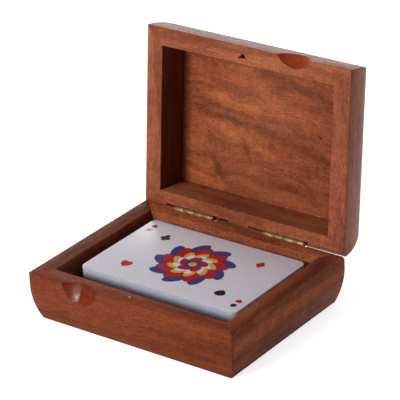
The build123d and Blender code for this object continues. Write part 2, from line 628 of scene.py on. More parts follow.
def upper_card():
    low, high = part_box("top_card")
    sheet = card("upper_card", low, high, card_edge_round)
    smooth(sheet)
    return sheet


# ---------------------------------------------------------------- shader helpers
def linear(red, green, blue):
    """A colour given as 0-255 screen values."""
    def channel(value):
        value /= 255
        return value / 12.92 if value <= 0.04045 else ((value + 0.055) / 1.055) ** 2.4
    return (channel(red), channel(green), channel(blue), 1)


def add_node(tree, kind, settings=None, inputs=None):
    node = tree.nodes.new(kind)
    for key, value in (settings or {}).items():
        setattr(node, key, value)
    for key, value in (inputs or {}).items():
        if isinstance(value, bpy.types.NodeSocket):
            tree.links.new(value, node.inputs[key])
        else:
            node.inputs[key].default_value = value
    return node


def calculate(tree, operation, *values):
    node = add_node(tree, "ShaderNodeMath", {"operation": operation}, dict(enumerate(values)))
    return node.outputs[0]


def times(tree, first, second):
    return calculate(tree, "MULTIPLY", first, second)


def plus(tree, first, second):
    return calculate(tree, "ADD", first, second)


def minus(tree, first, second):
    return calculate(tree, "SUBTRACT", first, second)


def absolute(tree, value):
    return calculate(tree, "ABSOLUTE", value)


def blend_colour(tree, factor, first, second, mode="MIX"):
    settings = {"data_type": "RGBA", "blend_type": mode, "clamp_factor": True}
    return add_node(tree, "ShaderNodeMix", settings, {0: factor, 6: first, 7: second}).outputs[2]


def span(tree, value, low, high, to_low=0.0, to_high=1.0, smoothly=True):
    """Rescales a value from one range to another, clamped."""
    kind = "SMOOTHSTEP" if smoothly else "LINEAR"
    inputs = {0: value, 1: low, 2: high, 3: to_low, 4: to_high}
    return add_node(tree, "ShaderNodeMapRange", {"interpolation_type": kind}, inputs).outputs[0]


def noise(tree, vector, scale, detail=2.0, roughness=0.5, distortion=0.0):
    inputs = {"Vector": vector, "Scale": scale, "Detail": detail, "Roughness": roughness}
    inputs["Distortion"] = distortion
    return add_node(tree, "ShaderNodeTexNoise", {}, inputs).outputs[0]


def stretched(tree, vector, scale, place=(0, 0, 0), turn=(0, 0, 0)):
    inputs = {"Vector": vector, "Scale": scale, "Location": place, "Rotation": turn}
    return add_node(tree, "ShaderNodeMapping", {}, inputs).outputs[0]


def vector_math(tree, operation, inputs, result="Vector"):
    return add_node(tree, "ShaderNodeVectorMath", {"operation": operation}, inputs).outputs[result]


def flattened(tree, vector):
    """The vector with its third number at nought."""
    return vector_math(tree, "MULTIPLY", {0: vector, 1: (1, 1, 0)})


def apart(tree, vector):
    """The three numbers of a vector."""
    parts = add_node(tree, "ShaderNodeSeparateXYZ", {}, {0: vector}).outputs
    return parts["X"], parts["Y"], parts["Z"]


def plane_length(tree, x, y):
    squares = plus(tree, times(tree, x, x), times(tree, y, y))
    return calculate(tree, "SQRT", squares)


def new_group(name, inputs, outputs=("Mask",)):
    """A node group that takes a vector and the named inputs. Returns its tree and its inner sockets."""
    tree = bpy.data.node_groups.new(name, "ShaderNodeTree")
    for label, value in {"Vector": (0, 0, 0), **inputs}.items():
        kind = "NodeSocketVector" if isinstance(value, tuple) else "NodeSocketFloat"
        tree.interface.new_socket(label, in_out="INPUT", socket_type=kind).default_value = value
    for label in outputs:
        tree.interface.new_socket(label, in_out="OUTPUT", socket_type="NodeSocketFloat")
    entry = tree.nodes.new("NodeGroupInput")
    leave = tree.nodes.new("NodeGroupOutput")
    return tree, entry.outputs, leave.inputs


def place_group(tree, group, inputs):
    return add_node(tree, "ShaderNodeGroup", {"node_tree": group}, inputs).outputs


# ---------------------------------------------------------------- shared effects
# How far a streak's edge strays, in half widths
streak_raggedness = 2.6
# How far a long band's middle strays, and how long its ends take to fade, in millimetres
sweep_wander = 9.0
sweep_fade = 9.0


def make_grain_group():
    """Figure, fibres and pores of hardwood whose grain runs along the vector's X, in millimetres."""
    outputs = ("Figure", "Bands", "Drift", "Ripple", "Fibres", "Pores", "Fleck")
    tree, given, give = new_group("wood grain", {"Figure Size": 1.0, "Waviness": 1.0}, outputs)
    vector = given["Vector"]
    wander = noise(tree, stretched(tree, vector, (0.022, 0.04, 0.04)), 1.0, 2.0)
    wander = times(tree, minus(tree, wander, 0.5), 18.0)
    wander = times(tree, wander, given["Waviness"])
    shift = add_node(tree, "ShaderNodeCombineXYZ", {}, {"Y": wander, "Z": wander}).outputs[0]
    warped = vector_math(tree, "ADD", {0: vector, 1: shift})
    sized = vector_math(tree, "SCALE", {0: warped, "Scale": given["Figure Size"]})
    figure = noise(tree, stretched(tree, sized, (0.013, 0.13, 0.13)), 1.0, 3.0, 0.55)
    bands = noise(tree, stretched(tree, sized, (0.035, 0.42, 0.42), (2, 8, 5)), 1.0, 3.0, 0.6)
    drift = noise(tree, stretched(tree, vector, (0.02, 0.035, 0.035), (31, 7, 3)), 1.0, 2.0)
    ripple = noise(tree, stretched(tree, vector, (0.3, 0.07, 0.07), (5, 17, 3)), 1.0, 2.0)
    fibres = noise(tree, stretched(tree, warped, (0.16, 1.25, 1.25)), 1.0, 4.0, 0.72)
    pores = noise(tree, stretched(tree, warped, (0.6, 3.0, 3.0), (3, 1, 9)), 1.0, 2.0, 0.6)
    fleck = noise(tree, stretched(tree, vector, (0.8, 1.3, 1.3), (9, 4, 2)), 1.0, 3.0, 0.7)
    contrasts = {
        "Figure": (figure, 0.42, 0.66),
        "Bands": (bands, 0.36, 0.64),
        "Drift": (drift, 0.34, 0.66),
        "Ripple": (ripple, 0.36, 0.64),
        "Fibres": (fibres, 0.32, 0.68),
        "Pores": (pores, 0.5, 0.66),
        "Fleck": (fleck, 0.44, 0.62),
    }
    for label, (value, low, high) in contrasts.items():
        tree.links.new(span(tree, value, low, high), give[label])
    return tree


def make_wear_group():
    """Mask of sharp edges, broken up, where the finish is rubbed thin."""
    tree, given, give = new_group("worn edges", {"Width": 0.6 * mm}, ["Wear"])
    rounded = add_node(tree, "ShaderNodeBevel", {"samples": 4}, {"Radius": given["Width"]})
    surface = tree.nodes.new("ShaderNodeNewGeometry").outputs["Normal"]
    agreement = vector_math(tree, "DOT_PRODUCT", {0: rounded.outputs[0], 1: surface}, "Value")
    edge = span(tree, minus(tree, 1.0, agreement), 0.01, 0.2)
    patches = span(tree, noise(tree, given["Vector"], 0.35, 3.0, 0.6), 0.4, 0.65)
    tree.links.new(times(tree, edge, patches), give["Wear"])
    return tree


def make_streak_group():
    """Mask of one soft streak in a plane: a long ellipse with a ragged edge, at an angle to X."""
    defaults = {"Place": (0, 0, 0), "Turn": 0.0, "Half Length": 10.0, "Half Width": 2.0}
    tree, given, give = new_group("soft streak", defaults)
    inputs = {"Vector": given["Vector"], "Scale": 0.25, "Detail": 3.0, "Roughness": 0.6}
    ragged = add_node(tree, "ShaderNodeTexNoise", {}, inputs).outputs["Color"]
    push = vector_math(tree, "SUBTRACT", {0: ragged, 1: (0.5, 0.5, 0.5)})
    reach = times(tree, given["Half Width"], streak_raggedness)
    push = vector_math(tree, "SCALE", {0: push, "Scale": reach})
    moved = vector_math(tree, "SUBTRACT", {0: given["Vector"], 1: given["Place"]})
    moved = vector_math(tree, "ADD", {0: moved, 1: push})
    back = times(tree, given["Turn"], -1.0)
    inputs = {"Vector": moved, "Angle": back}
    turned = add_node(tree, "ShaderNodeVectorRotate", {"rotation_type": "Z_AXIS"}, inputs).outputs[0]
    along, across, _ = apart(tree, turned)
    along = calculate(tree, "DIVIDE", along, given["Half Length"])
    across = calculate(tree, "DIVIDE", across, given["Half Width"])
    tree.links.new(span(tree, plane_length(tree, along, across), 1.25, 0.2), give["Mask"])
    return tree


def make_sweep_group():
    """Mask of a long band of figure across a board: a bent middle line with a ragged edge and soft ends."""
    defaults = {"Height": 0.0, "Slope": 0.0, "Bend": 0.0, "Half Width": 3.0, "Start": -40.0, "End": 40.0}
    tree, given, give = new_group("figure sweep", defaults)
    x, y, _ = apart(tree, given["Vector"])
    slope_here = plus(tree, given["Slope"], times(tree, given["Bend"], x))
    middle = plus(tree, given["Height"], times(tree, slope_here, x))
    wander = noise(tree, stretched(tree, given["Vector"], (0.05, 0.14, 0)), 1.0, 4.0, 0.65)
    wander = times(tree, minus(tree, wander, 0.5), sweep_wander)
    gap = absolute(tree, plus(tree, minus(tree, y, middle), wander))
    band = span(tree, calculate(tree, "DIVIDE", gap, given["Half Width"]), 1.25, 0.15)
    after_start = span(tree, minus(tree, x, given["Start"]), 0, sweep_fade)
    before_end = span(tree, minus(tree, given["End"], x), 0, sweep_fade)
    ends = times(tree, after_start, before_end)
    tree.links.new(times(tree, band, ends), give["Mask"])
    return tree


def make_mitre_group():
    """Mask of the thin line where two walls meet at 45 degrees, in the millimetres of the shut case."""
    tree, given, give = new_group("mitre line", {"Offset": 12.0})
    x, y, _ = apart(tree, given["Vector"])
    gap = minus(tree, absolute(tree, x), absolute(tree, y))
    gap = absolute(tree, minus(tree, gap, given["Offset"]))
    tree.links.new(span(tree, gap, 0.2, 0.06), give["Mask"])
    return tree


def make_flower_group():
    """Mask of one layer of a printed flower: a disc whose edge swells into petals, with an optional twist."""
    defaults = {"Radius": 10.0, "Petals": 8.0, "Depth": 0.3, "Turn": 0.0, "Twist": 0.0}
    tree, given, give = new_group("flower print", defaults)
    x, y, _ = apart(tree, given["Vector"])
    distance = plane_length(tree, x, y)
    angle = plus(tree, calculate(tree, "ARCTAN2", y, x), given["Turn"])
    angle = plus(tree, angle, times(tree, distance, given["Twist"]))
    half_turns = times(tree, angle, times(tree, given["Petals"], 0.5))
    wave = absolute(tree, calculate(tree, "SINE", half_turns))
    dip = times(tree, minus(tree, 1.0, wave), given["Depth"])
    limit = times(tree, given["Radius"], minus(tree, 1.0, dip))
    tree.links.new(span(tree, minus(tree, distance, limit), 0.06, -0.06), give["Mask"])
    return tree


def make_pip_group(name, shapes):
    """Mask of one suit mark: the union of its shapes, which are drawn about two units high."""
    tree, given, give = new_group(name, {"Size": 1.0})
    inverse = calculate(tree, "DIVIDE", 1.0, given["Size"])
    sized = vector_math(tree, "SCALE", {0: given["Vector"], "Scale": inverse})
    x, y, _ = apart(tree, sized)
    inside = None
    for shape in shapes:
        part = shape(tree, x, y)
        inside = part if inside is None else calculate(tree, "MAXIMUM", inside, part)
    tree.links.new(inside, give["Mask"])
    return tree


def heart_shape(upside_down, scale, lift):
    """A heart, point down or point up: the sextic curve (x2 + y2 - 1)3 - x2 y3 = 0."""
    def shape(tree, x, y):
        y = times(tree, minus(tree, y, lift), -scale if upside_down else scale)
        x = times(tree, x, scale)
        square_x = times(tree, x, x)
        round_part = plus(tree, square_x, times(tree, y, y))
        round_part = minus(tree, round_part, 1.0)
        square = times(tree, round_part, round_part)
        cube = times(tree, square, round_part)
        cleft = times(tree, square_x, times(tree, y, times(tree, y, y)))
        return calculate(tree, "LESS_THAN", cube, cleft)
    return shape


def diamond_shape(tree, x, y):
    width = times(tree, absolute(tree, x), 1.3)
    return calculate(tree, "LESS_THAN", plus(tree, width, absolute(tree, y)), 1.0)


def disc_shape(centre_x, centre_y, radius):
    def shape(tree, x, y):
        x = minus(tree, x, centre_x)
        distance = plane_length(tree, x, minus(tree, y, centre_y))
        return calculate(tree, "LESS_THAN", distance, radius)
    return shape


def stem_shape(tree, x, y):
    """A stem that widens towards its foot."""
    spread = span(tree, y, -1.0, 0.1, 0.42, 0.08, False)
    narrow = calculate(tree, "LESS_THAN", absolute(tree, x), spread)
    above_foot = calculate(tree, "GREATER_THAN", y, -1.0)
    below_head = calculate(tree, "LESS_THAN", y, 0.2)
    return times(tree, narrow, times(tree, above_foot, below_head))


grain_group = make_grain_group()
wear_group = make_wear_group()
sweep_group = make_sweep_group()
streak_group = make_streak_group()
mitre_group = make_mitre_group()
flower_group = make_flower_group()
heart_group = make_pip_group("heart print", [heart_shape(False, 1.15, 0)])
diamond_group = make_pip_group("diamond print", [diamond_shape])
spade_group = make_pip_group("spade print", [heart_shape(True, 1.25, 0.12), stem_shape])
club_group = make_pip_group(
    "club print",
    [disc_shape(0, 0.52, 0.42), disc_shape(-0.46, -0.18, 0.42), disc_shape(0.46, -0.18, 0.42), stem_shape],
)


# ---------------------------------------------------------------- materials
shut_shift = (shut @ Vector((0, 0, 0))) / mm
along_x = 0
along_y = math.pi / 2
# Tint for darker grain, and for painted shade on rims, along the base's foot and on the board's ends
shade_tint = (0.42, 0.36, 0.36, 1)
# Tint of the painted shade on faces that look into the case
deep_painted_shade_tint = (0.3, 0.24, 0.2, 1)
mitre_tint = (0.25, 0.2, 0.2, 1)
# Near black, for the painted shade inside the lid's catch hole
hole_painted_shade_tint = (0.05, 0.04, 0.04, 1)
scoop_tints = {"base": (0.72, 0.42, 0.32, 1), "lid": (0.95, 0.42, 0.26, 1)}
dark_figure_tint = (0.5, 0.46, 0.52, 1)
light_figure_tint = (1.42, 1.38, 1.25, 1)
no_tint = (1, 1, 1, 1)
# The varnish in the base's scoop that catches the key lamp: place on the front, turn and half sizes in mm
scoop_gloss = ((-31.9, 20.2), 80, 6.6, 2.5)


def new_material(name):
    material = bpy.data.materials.new(name)
    material.use_nodes = True
    tree = material.node_tree
    tree.nodes.clear()
    shader = tree.nodes.new("ShaderNodeBsdfPrincipled")
    output = tree.nodes.new("ShaderNodeOutputMaterial")
    tree.links.new(shader.outputs[0], output.inputs["Surface"])
    return material, tree, shader


def object_millimetres(tree):
    coordinates = tree.nodes.new("ShaderNodeTexCoord").outputs["Object"]
    return stretched(tree, coordinates, (1 / mm, 1 / mm, 1 / mm))


def case_millimetres(tree, half):
    """Object coordinates in millimetres; on the lid, as they are when it is shut."""
    coordinates = tree.nodes.new("ShaderNodeTexCoord").outputs["Object"]
    place, turn = (shut_shift, (open_angle, 0, 0)) if half == "lid" else ((0, 0, 0), (0, 0, 0))
    return stretched(tree, coordinates, (1 / mm, 1 / mm, 1 / mm), place, turn)


def case_normal(tree, half):
    """The surface's direction; on the lid, as it is when it is shut."""
    normal = tree.nodes.new("ShaderNodeTexCoord").outputs["Normal"]
    if half == "base":
        return normal
    inputs = {"Vector": normal, "Angle": open_angle}
    return add_node(tree, "ShaderNodeVectorRotate", {"rotation_type": "X_AXIS"}, inputs).outputs[0]


def raise_surface(tree, shader, height, distance, normal="Normal"):
    """Bumps the surface, or its coat, by this distance where the height is 1."""
    inputs = {"Height": height, "Strength": 1.0, "Distance": distance}
    bump = add_node(tree, "ShaderNodeBump", {}, inputs)
    tree.links.new(bump.outputs[0], shader.inputs[normal])


def shade(tree, mask, strength, colour, tint=shade_tint):
    """Darkens a colour where a mask is, as far as the strength says."""
    return blend_colour(tree, times(tree, mask, strength), colour, tint, "MULTIPLY")


def mark_mask(tree, vector, mark):
    """Mask of a mark given by its place, its turn in degrees, its half length and its half width."""
    place, turn, half_length_mm, half_width_mm = mark
    inputs = {
        "Vector": flattened(tree, vector),
        "Place": (*place, 0),
        "Turn": math.radians(turn),
        "Half Length": half_length_mm,
        "Half Width": half_width_mm,
    }
    return place_group(tree, streak_group, inputs)["Mask"]


def scoop_mask(tree, vector, half):
    """Mask of the finger scoop's hollow, which lies on the ball that cut it."""
    centre, radius = scoop_ball_place(half)
    distance = vector_math(tree, "DISTANCE", {0: vector, 1: centre / mm}, "Value")
    return span(tree, distance, radius / mm + 0.35, radius / mm + 0.05)


def hole_mask(tree, vector):
    """Mask of the lid's catch hole and its splinters, under the rim's face, which are painted near black as
    their shade.
    """
    middle = (catch_pin_place.x / mm, catch_pin_place.y / mm, 0)
    distance = vector_math(tree, "DISTANCE", {0: flattened(tree, vector), 1: middle}, "Value")
    near = calculate(tree, "LESS_THAN", distance, 4.0)
    depth = minus(tree, apart(tree, vector)[2], lid_rim / mm)
    below = times(tree, span(tree, depth, 0.05, 0.4), span(tree, depth, 2.8, 2.4))
    return times(tree, near, below)


def wood(
    name, half, turn, place, tones,
    figure_size=1.0, figure_depth=0.5, waviness=1.0, fleck=0.26,
    rim_painted_shade=0.0, inner_painted_shade=0.0, outer_painted_shade=None,
):
    """Oiled reddish hardwood with its own grain. Returns the material, its colour and its case vector."""
    material, tree, shader = new_material(name)
    case_vector = case_millimetres(tree, half)
    vector = stretched(tree, case_vector, (1, 1, 1), place, (0, 0, turn))
    inputs = {"Vector": vector, "Figure Size": figure_size, "Waviness": waviness}
    grain = place_group(tree, grain_group, inputs)
    dark, mid, light = tones
    colour = blend_colour(tree, grain["Drift"], mid, light)
    colour = blend_colour(tree, times(tree, grain["Bands"], 0.5), colour, light)
    colour = blend_colour(tree, times(tree, grain["Figure"], figure_depth), colour, dark)
    colour = shade(tree, grain["Ripple"], 0.16, colour)
    colour = shade(tree, grain["Fibres"], 0.46, colour)
    colour = shade(tree, grain["Pores"], 0.6, colour)
    colour = shade(tree, grain["Fleck"], fleck, colour)
    normal_x, normal_y, normal_z = apart(tree, case_normal(tree, half))
    # Painted shade on the faces that look up or down, the rims.
    if rim_painted_shade:
        level = span(tree, absolute(tree, normal_z), 0.8, 0.97)
        colour = shade(tree, level, rim_painted_shade, colour)
    if inner_painted_shade or outer_painted_shade:
        x, y, _ = apart(tree, case_vector)
        outward = times(tree, normal_x, x)
        outward = plus(tree, outward, times(tree, normal_y, y))
        # Painted shade on the faces that look into the case.
        colour = shade(tree, span(tree, outward, -10, -30), inner_painted_shade, colour, deep_painted_shade_tint)
        # Painted shade, a darker and greyer tint, on the faces that look out of the case.
        colour = shade(tree, span(tree, outward, 10, 30), 1.0, colour, outer_painted_shade or no_tint)
    wear = place_group(tree, wear_group, {"Vector": case_vector})["Wear"]
    colour = blend_colour(tree, times(tree, wear, 0.3), colour, linear(188, 124, 92))
    rough = span(tree, grain["Fibres"], 0, 1, 0.34, 0.46, False)
    tree.links.new(rough, shader.inputs["Roughness"])
    shader.inputs["IOR"].default_value = 1.15 if half == "base" else 1.42
    shader.inputs["Specular IOR Level"].default_value = 0.1
    height = minus(tree, times(tree, grain["Fibres"], 0.35), grain["Pores"])
    raise_surface(tree, shader, height, 0.05 * mm)
    return material, colour, case_vector


def set_colour(material, colour):
    tree = material.node_tree
    tree.links.new(colour, tree.nodes["Principled BSDF"].inputs["Base Color"])
    return material


def wall_wood(name, half, side, place, tones, **looks):
    """Wood of a mitred wall, with its mitre lines, painted shade along its foot and, in front, its scoop."""
    turn = along_x if side in ("front", "back") else along_y
    material, colour, case_vector = wood(name, half, turn, place, tones, **looks)
    tree = material.node_tree
    inputs = {"Vector": case_vector, "Offset": (half_length - half_width) / mm}
    line = place_group(tree, mitre_group, inputs)["Mask"]
    upright = absolute(tree, apart(tree, case_normal(tree, half))[2])
    line = times(tree, line, span(tree, upright, 0.6, 0.95, 1.0, 0.45))
    colour = shade(tree, line, 0.9, colour, mitre_tint)
    # Painted shade along the foot of the base's end walls, where the edge turns under.
    if half == "base" and side in ("left", "right"):
        foot = span(tree, apart(tree, case_vector)[2], board_top / mm + 0.9, board_top / mm - 0.2)
        colour = shade(tree, foot, 0.75, colour)
    if side == "front":
        hollow = scoop_mask(tree, case_vector, half)
        colour = shade(tree, hollow, 0.7, colour, scoop_tints[half])
        if half == "base":
            upright = stretched(tree, case_vector, (1, 1, 1), turn=(-math.pi / 2, 0, 0))
            patch = mark_mask(tree, upright, scoop_gloss)
            broken = span(tree, noise(tree, case_vector, 1.3, 3.0, 0.7), 0.34, 0.56)
            gloss = times(tree, hollow, times(tree, patch, broken))
            tree.links.new(gloss, coat_of(material, case_vector))
        else:
            # The catch hole and its splinters are painted near black as their shade.
            colour = shade(tree, hole_mask(tree, case_vector), 0.95, colour, hole_painted_shade_tint)
    return set_colour(material, colour)


def coat_of(material, case_vector):
    """Sets the gloss and the level sanding lines of a wood's varnish. Returns the socket for its weight."""
    tree = material.node_tree
    shader = tree.nodes["Principled BSDF"]
    shader.inputs["Coat Roughness"].default_value = 0.27
    shader.inputs["Coat IOR"].default_value = 1.62
    lines = noise(tree, stretched(tree, case_vector, (0.2, 0.6, 1.7)), 1.0, 3.0, 0.6)
    raise_surface(tree, shader, lines, 0.16 * mm, "Coat Normal")
    return shader.inputs["Coat Weight"]


# The panel's long bands of figure, in millimetres: height, slope, bend, half width, start, end and strength
dark_sweeps = [
    (-28, 0.15, 0.002, 4, -10, 46, 0.6),
    (1, 0.15, 0.0015, 3, -46, 46, 0.6),
    (-4, 0.1, 0, 1.5, -46, -5, 0.5),
    (24, 0.15, 0, 3, -5, 35, 0.4),
]
light_sweeps = [
    (-22, -0.05, 0, 3, -46, -10, 0.5),
    (-11, 0.03, 0, 3, -46, 30, 0.6),
    (12, 0.3, 0, 3, -40, 20, 0.45),
    (38, 0.2, 0, 4, -46, -20, 0.65),
]
# Two slanting marks and the knot: place, turn in degrees, half length, half width and strength
dark_marks = [((-27, 26), 55, 9, 2.5, 0.75), ((-11, 12), 65, 8, 2, 0.6), ((31, -3), 10, 2, 1, 1.0)]
# Small pale chips, given in the same way without a strength
chips = [((14, 37), 10, 1, 0.3), ((32, 37), 0, 1.3, 0.3)]


def panel_wood():
    """The figured panel of the lid, redder to the right, with dark and light bands, a knot and two chips."""
    tones = linear(120, 63, 46), linear(178, 95, 61), linear(208, 122, 78)
    looks = {"figure_size": 1.5, "figure_depth": 0.42, "waviness": 1.6, "fleck": 0.32}
    material, colour, case_vector = wood("lid panel wood", "lid", along_x, (0, 0, 200), tones, **looks)
    tree = material.node_tree
    across_panel = apart(tree, case_vector)[0]
    redder = span(tree, across_panel, -22, 30)
    colour = shade(tree, redder, 0.6, colour, (0.86, 0.76, 0.86, 1))
    for sweeps, tint in ((dark_sweeps, dark_figure_tint), (light_sweeps, light_figure_tint)):
        for height, slope, bend, half_width_mm, start, end, strength in sweeps:
            inputs = {"Vector": case_vector, "Height": height, "Slope": slope, "Bend": bend}
            inputs.update({"Half Width": half_width_mm, "Start": start, "End": end})
            mask = place_group(tree, sweep_group, inputs)["Mask"]
            colour = shade(tree, mask, strength, colour, tint)
    for place, turn, half_length_mm, half_width_mm, strength in dark_marks:
        mask = mark_mask(tree, case_vector, (place, turn, half_length_mm, half_width_mm))
        colour = shade(tree, mask, strength, colour, dark_figure_tint)
    for chip in chips:
        mask = mark_mask(tree, case_vector, chip)
        colour = blend_colour(tree, times(tree, mask, 0.8), colour, linear(225, 190, 160))
    return set_colour(material, colour)


def brass(name, tone, place):
    """Dull yellow metal with dark tarnish in patches."""
    material, tree, shader = new_material(name)
    vector = stretched(tree, object_millimetres(tree), (1, 1, 1), place)
    tarnish = span(tree, noise(tree, vector, 0.55, 4.0, 0.65), 0.38, 0.66)
    brushed = noise(tree, stretched(tree, vector, (6.0, 1.2, 1.2)), 1.0, 2.0)
    colour = blend_colour(tree, times(tree, tarnish, 0.75), tone, linear(122, 88, 50))
    tree.links.new(colour, shader.inputs["Base Color"])
    tree.links.new(span(tree, tarnish, 0, 1, 0.5, 0.7, False), shader.inputs["Roughness"])
    shader.inputs["Metallic"].default_value = 1.0
    raise_surface(tree, shader, brushed, 0.01 * mm)
    return material


def paper_edges():
    """Edges of the stacked cards: pale at the top of the pile, with painted shade that makes them greyer
    further down.
    """
    material, tree, shader = new_material("card edges")
    vector = object_millimetres(tree)
    smudge = noise(tree, stretched(tree, vector, (0.15, 0.15, 3.0)), 1.0, 3.0, 0.6)
    colour = blend_colour(tree, span(tree, smudge, 0.3, 0.7), linear(196, 203, 222), linear(222, 226, 240))
    top_of_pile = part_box("card_stack")[1].z / mm
    # Painted shade, deepening down the side of the pile.
    painted_shade_low_down = span(tree, apart(tree, vector)[2], top_of_pile - 0.4, top_of_pile - 4.5)
    colour = shade(tree, painted_shade_low_down, 0.9, colour, (0.3, 0.3, 0.33, 1))
    tree.links.new(colour, shader.inputs["Base Color"])
    shader.inputs["Roughness"].default_value = 0.6
    shader.inputs["Specular IOR Level"].default_value = 0.25
    return material


print_red = linear(186, 26, 44)
print_blue = linear(44, 62, 142)
print_gold = linear(226, 172, 58)
print_white = linear(226, 222, 232)
print_black = linear(30, 26, 32)
# Rings of the flower, outermost first: radius in mm, petals, depth between petals, turn, twist and ink
flower_layers = [
    (20.6, 9, 0.34, 0.0, 0.03, print_black),
    (20.15, 9, 0.34, 0.0, 0.03, print_blue),
    (17.4, 9, 0.28, 0.16, 0.035, print_black),
    (17.0, 9, 0.28, 0.16, 0.035, print_red),
    (12.6, 9, 0.3, 0.3, 0.05, print_black),
    (12.2, 9, 0.3, 0.3, 0.05, print_gold),
    (10.2, 9, 0.34, 0.1, 0.09, print_black),
    (9.85, 9, 0.34, 0.1, 0.09, print_white),
    (7.4, 5, 0.3, 0.6, 0.12, print_black),
    (7.0, 5, 0.3, 0.6, 0.12, print_red),
    (4.6, 5, 0.4, 0.9, 0.2, print_blue),
    (2.6, 3, 0.1, 0.0, 0.0, print_black),
    (2.2, 3, 0.1, 0.0, 0.0, print_gold),
]


def card_face():
    """Smooth coated paper: a flower printed in rings, four suit marks about it and two in two corners."""
    material, tree, shader = new_material("card face")
    vector = object_millimetres(tree)
    low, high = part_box("top_card")
    middle = (low + high) / 2
    print_place = stretched(tree, vector, (1, 1, 0), (-middle.x / mm, -middle.y / mm, 0))
    weave = noise(tree, vector, 1.6, 2.0, 0.5)
    colour = blend_colour(tree, span(tree, weave, 0.3, 0.7), linear(222, 218, 228), linear(228, 225, 234))
    for radius, petals, depth, turn, twist, ink in flower_layers:
        inputs = {"Vector": print_place, "Radius": radius, "Petals": petals, "Depth": depth}
        inputs.update({"Turn": turn, "Twist": twist})
        colour = blend_colour(tree, place_group(tree, flower_group, inputs)["Mask"], colour, ink)
    near_x, near_y = 27.5, 16
    corner_x, corner_y = 39.5, 23.2
    pips = [
        (heart_group, -near_x, -near_y, 3.0, 0, print_red),
        (spade_group, near_x, -near_y, 3.0, 0, print_black),
        (diamond_group, near_x, near_y, 3.2, 0, print_red),
        (club_group, -near_x, near_y, 3.0, 0, print_black),
        (spade_group, -corner_x, corner_y, 1.7, 0, print_black),
        (heart_group, -corner_x, corner_y - 5, 1.7, 0, print_red),
        (spade_group, corner_x, -corner_y, 1.7, math.pi, print_black),
        (heart_group, corner_x, 5 - corner_y, 1.7, math.pi, print_red),
    ]
    for group, x, y, size, turn, ink in pips:
        place = Vector((-x, -y, 0))
        place.rotate(Matrix.Rotation(turn, 3, "Z"))
        inputs = {"Vector": stretched(tree, print_place, (1, 1, 1), place, (0, 0, turn)), "Size": size}
        colour = blend_colour(tree, place_group(tree, group, inputs)["Mask"], colour, ink)
    tree.links.new(colour, shader.inputs["Base Color"])
    shader.inputs["Roughness"].default_value = 0.3
    raise_surface(tree, shader, weave, 0.004 * mm)
    return material


# ---------------------------------------------------------------- making the pieces
def four_walls(half, *ring_sizes):
    """The mitred walls of one half by side, with the finger scoop cut in the front one."""
    ring = frame_ring(f"{half}_ring", *ring_sizes)
    walls = {side: mitred_wall(ring, side, f"{half}_{side}_rail") for side in case_sides}
    remove(ring)
    cut_out(walls["front"], scoop_ball(half))
    return walls


def finish_walls(half, walls, looks):
    """Gives each wall its own wood and puts it in its place."""
    for side, wall in walls.items():
        material = wall_wood(f"{half} {side} wood", half, side, **looks[side])
        smooth(wall)
        finish_piece(wall, material, f"{half}_{side}_wall", half)


def make_base():
    """Four walls, the bottom board and the catch pin."""
    end = base_height - board_top
    walls = four_walls("base", base_rim, -1, base_height, base_straight, base_edge_radius, end)
    pin_hole_radius = (catch_pin_high.x - catch_pin_low.x) / 2 + pin_hole_play
    cut_catch_hole(walls["front"], base_rim, pin_hole_radius, pin_hole_depth)
    cut_hinge_pockets(walls["back"], base_rim, -1)
    tones = linear(114, 56, 41), linear(158, 79, 52), linear(172, 90, 58)
    back_tones = linear(122, 60, 42), linear(182, 96, 62), linear(212, 124, 82)
    dull_tones = linear(98, 58, 46), linear(168, 88, 59), linear(194, 112, 74)
    front = {"figure_size": 0.9, "figure_depth": 0.55, "waviness": 0.35}
    right = {"rim_painted_shade": 0.5, "figure_size": 0.7, "figure_depth": 0.6}
    # Each wall's grain, and how much painted shade its rims and inner faces get
    looks = {
        "front": {"place": (40, 0, 0), "tones": tones, **front},
        "back": {"place": (300, 60, 0), "tones": back_tones, "fleck": 0.75, "rim_painted_shade": 0.2},
        "left": {"place": (700, 20, 9), "tones": dull_tones, "rim_painted_shade": 0.8, "inner_painted_shade": 0.5},
        "right": {"place": (500, 90, 30), "tones": dull_tones, **right},
    }
    finish_walls("base", walls, looks)
    board_material, colour, _ = wood("bottom board wood", "base", along_x, (90, 10, 60), tones)
    tree = board_material.node_tree
    # Painted shade on the board's end faces, which look left and right.
    end_face_painted_shade = span(tree, absolute(tree, apart(tree, case_normal(tree, "base"))[0]), 0.4, 0.7)
    set_colour(board_material, shade(tree, end_face_painted_shade, 0.8, colour))
    finish_piece(bottom_board(), board_material, "base_bottom_board", "base")
    pin_material = brass("catch pin brass", linear(215, 190, 140), (5, 0, 0))
    finish_piece(catch_pin(), pin_material, "catch_pin", "base")


